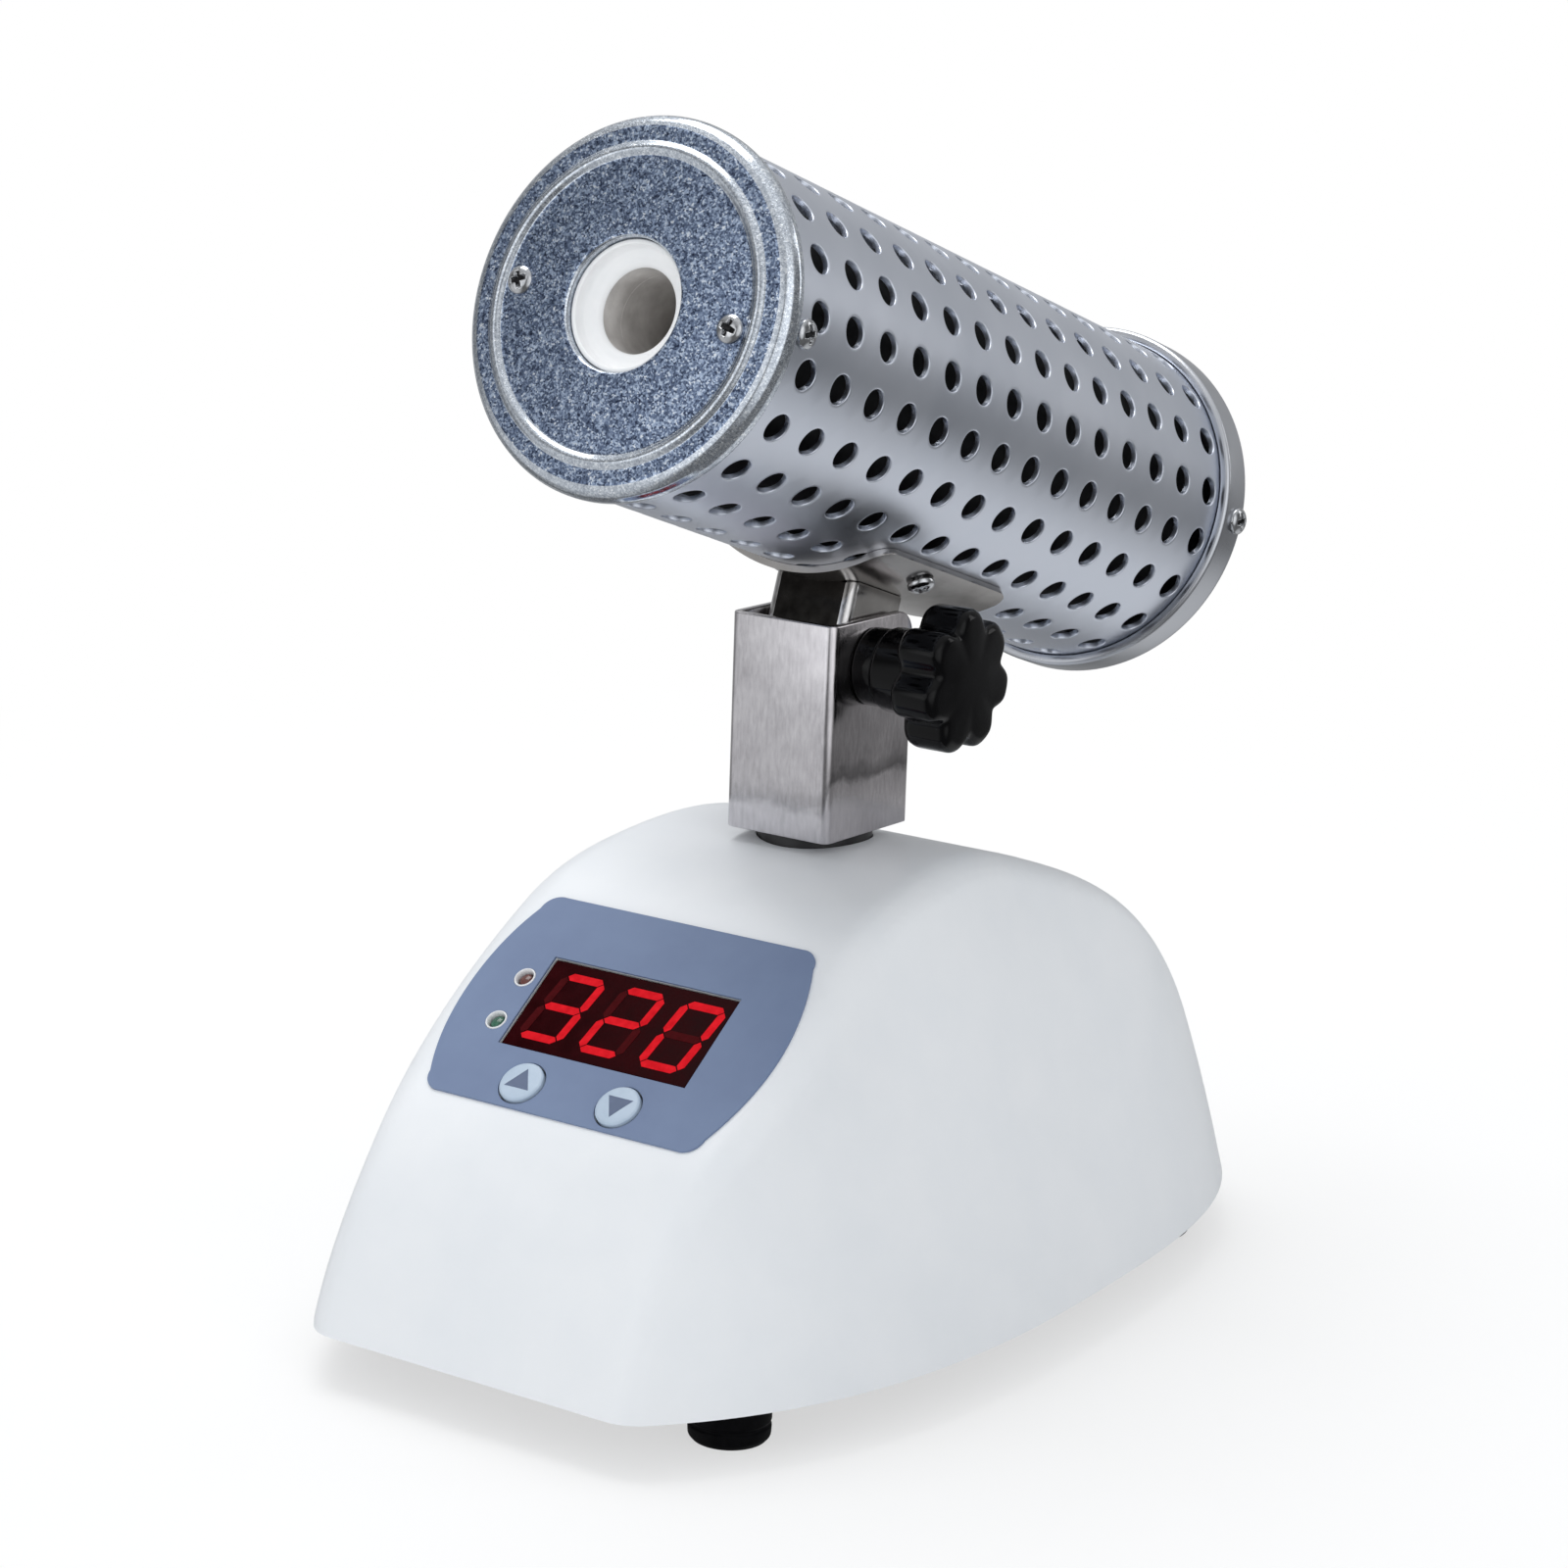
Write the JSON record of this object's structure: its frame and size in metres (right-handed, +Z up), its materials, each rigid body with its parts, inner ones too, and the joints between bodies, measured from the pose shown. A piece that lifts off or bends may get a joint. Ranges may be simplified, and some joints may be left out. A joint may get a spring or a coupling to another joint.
{
  "type": "infrared loop sterilizer",
  "caption": "Bench loop sterilizer: perforated heater barrel with a ceramic bore, clamped to tilt on a square post over a moulded base with a display, buttons, rear inlet and rubber feet.",
  "frame": {"origin": "on the floor, under the middle of the base's length and width", "axes": "+Z up, front of the panel and the barrel's mouth toward -Y, clamp knob toward +X"},
  "size_m": [0.1146, 0.1914, 0.2067],
  "materials": {
    "shell_white": "satin, cool white",
    "plate_grey": "powder coated",
    "screw_steel": "bright plated",
    "foot_rubber": "matte",
    "panel_film": "matte grey blue film",
    "display_body": "dark",
    "display_lens": "dark red filter",
    "bezel_white": "white",
    "lamp_red": "tinted lens",
    "lamp_green": "tinted lens",
    "button_pale": "satin pale blue",
    "circuit_board": "solder resist",
    "nylon": "natural nylon",
    "component_black": "moulded",
    "transformer_iron": "varnished laminations",
    "relay_blue": "moulded",
    "terminal_green": "moulded",
    "contact_brass": "plain",
    "fuse_glass": "clear",
    "rocker_black": "polished",
    "collar_black": "matte",
    "nickel_plate": "mottled nickel plate",
    "zinc_steel": "zinc plated",
    "knob_black": "glossy phenolic",
    "tube_aluminium": "satin anodised",
    "cap_zinc": "cast, glittering grain",
    "cap_aluminium": "satin",
    "ceramic_white": "unglazed white",
    "ceramic_core": "unglazed, heat stained",
    "winding_wire": "oxidised wire in cement",
    "insulation_fibre": "felted fibre",
    "liner_steel": "heat tinted sheet",
    "probe_steel": "plain"
  },
  "bodies": {
    "pedestal": {"base_shell": "shell_white", "base_plate": "plate_grey", "base_screws": "screw_steel", "foot_front_left": "foot_rubber", "foot_front_right": "foot_rubber", "foot_rear_left": "foot_rubber", "foot_rear_right": "foot_rubber", "foot_screws": "screw_steel", "panel_overlay": "panel_film", "display_module": "display_body", "display_lens": "display_lens", "lamp_bezels": "bezel_white", "heat_lamp": "lamp_red", "power_lamp": "lamp_green", "control_board": "circuit_board", "board_standoffs": "nylon", "board_screws": "screw_steel", "button_switches": "component_black", "power_board": "circuit_board", "power_standoffs": "nylon", "transformer": "transformer_iron", "relay": "relay_blue", "terminal_block": "terminal_green", "fuse_clips": "contact_brass", "fuse": "fuse_glass", "power_inlet": "component_black", "inlet_pins": "contact_brass", "switch_housing": "component_black", "stem_collar": "collar_black", "post": "nickel_plate", "stem_bolt": "zinc_steel", "stem_washer": "zinc_steel", "stem_nut": "zinc_steel", "clamp_bolt": "zinc_steel", "pivot_washers": "nylon", "knob_washer": "knob_black"},
    "barrel": {"tilt_bracket": "nickel_plate", "saddle": "nickel_plate", "saddle_screws": "screw_steel", "guard_tube": "tube_aluminium", "front_cap": "cap_zinc", "front_cap_screws": "screw_steel", "front_side_screws": "screw_steel", "rear_cap": "cap_aluminium", "rear_side_screws": "screw_steel", "ceramic_mouth": "ceramic_white", "ceramic_core": "ceramic_core", "heater_winding": "winding_wire", "insulation_sleeve": "insulation_fibre", "inner_liner": "liner_steel", "rear_plug": "ceramic_white", "thermocouple": "probe_steel"},
    "knob": {"clamp_knob": "knob_black", "knob_insert": "contact_brass"},
    "button_up": {"up_button": "button_pale"},
    "button_down": {"down_button": "button_pale"},
    "rocker": {"power_rocker": "rocker_black"}
  },
  "joints": [
    {"name": "barrel_tilt", "type": "hinge", "parent": "pedestal", "child": "barrel", "pos_m": [0, -0.00285, 0.1129], "axis": [-1, 0, 0], "range_deg": [-18.3, 21.7]},
    {"name": "knob_turn", "type": "hinge", "parent": "pedestal", "child": "knob", "pos_m": [0.0188, -0.00285, 0.1129], "axis": [1, 0, 0], "range_deg": [0, 360]},
    {"name": "up_press", "type": "slide", "parent": "pedestal", "child": "button_up", "axis": [0, 0.6131, -0.79], "range_m": [0, 0.0006], "stiffness_N_per_m": 600},
    {"name": "down_press", "type": "slide", "parent": "pedestal", "child": "button_down", "axis": [0, 0.6131, -0.79], "range_m": [0, 0.0006], "stiffness_N_per_m": 600},
    {"name": "rocker_flip", "type": "hinge", "parent": "pedestal", "child": "rocker", "pos_m": [0.0175, 0.0776, 0.028], "axis": [1, 0, 0], "range_deg": [-16, 0]}
  ]
}
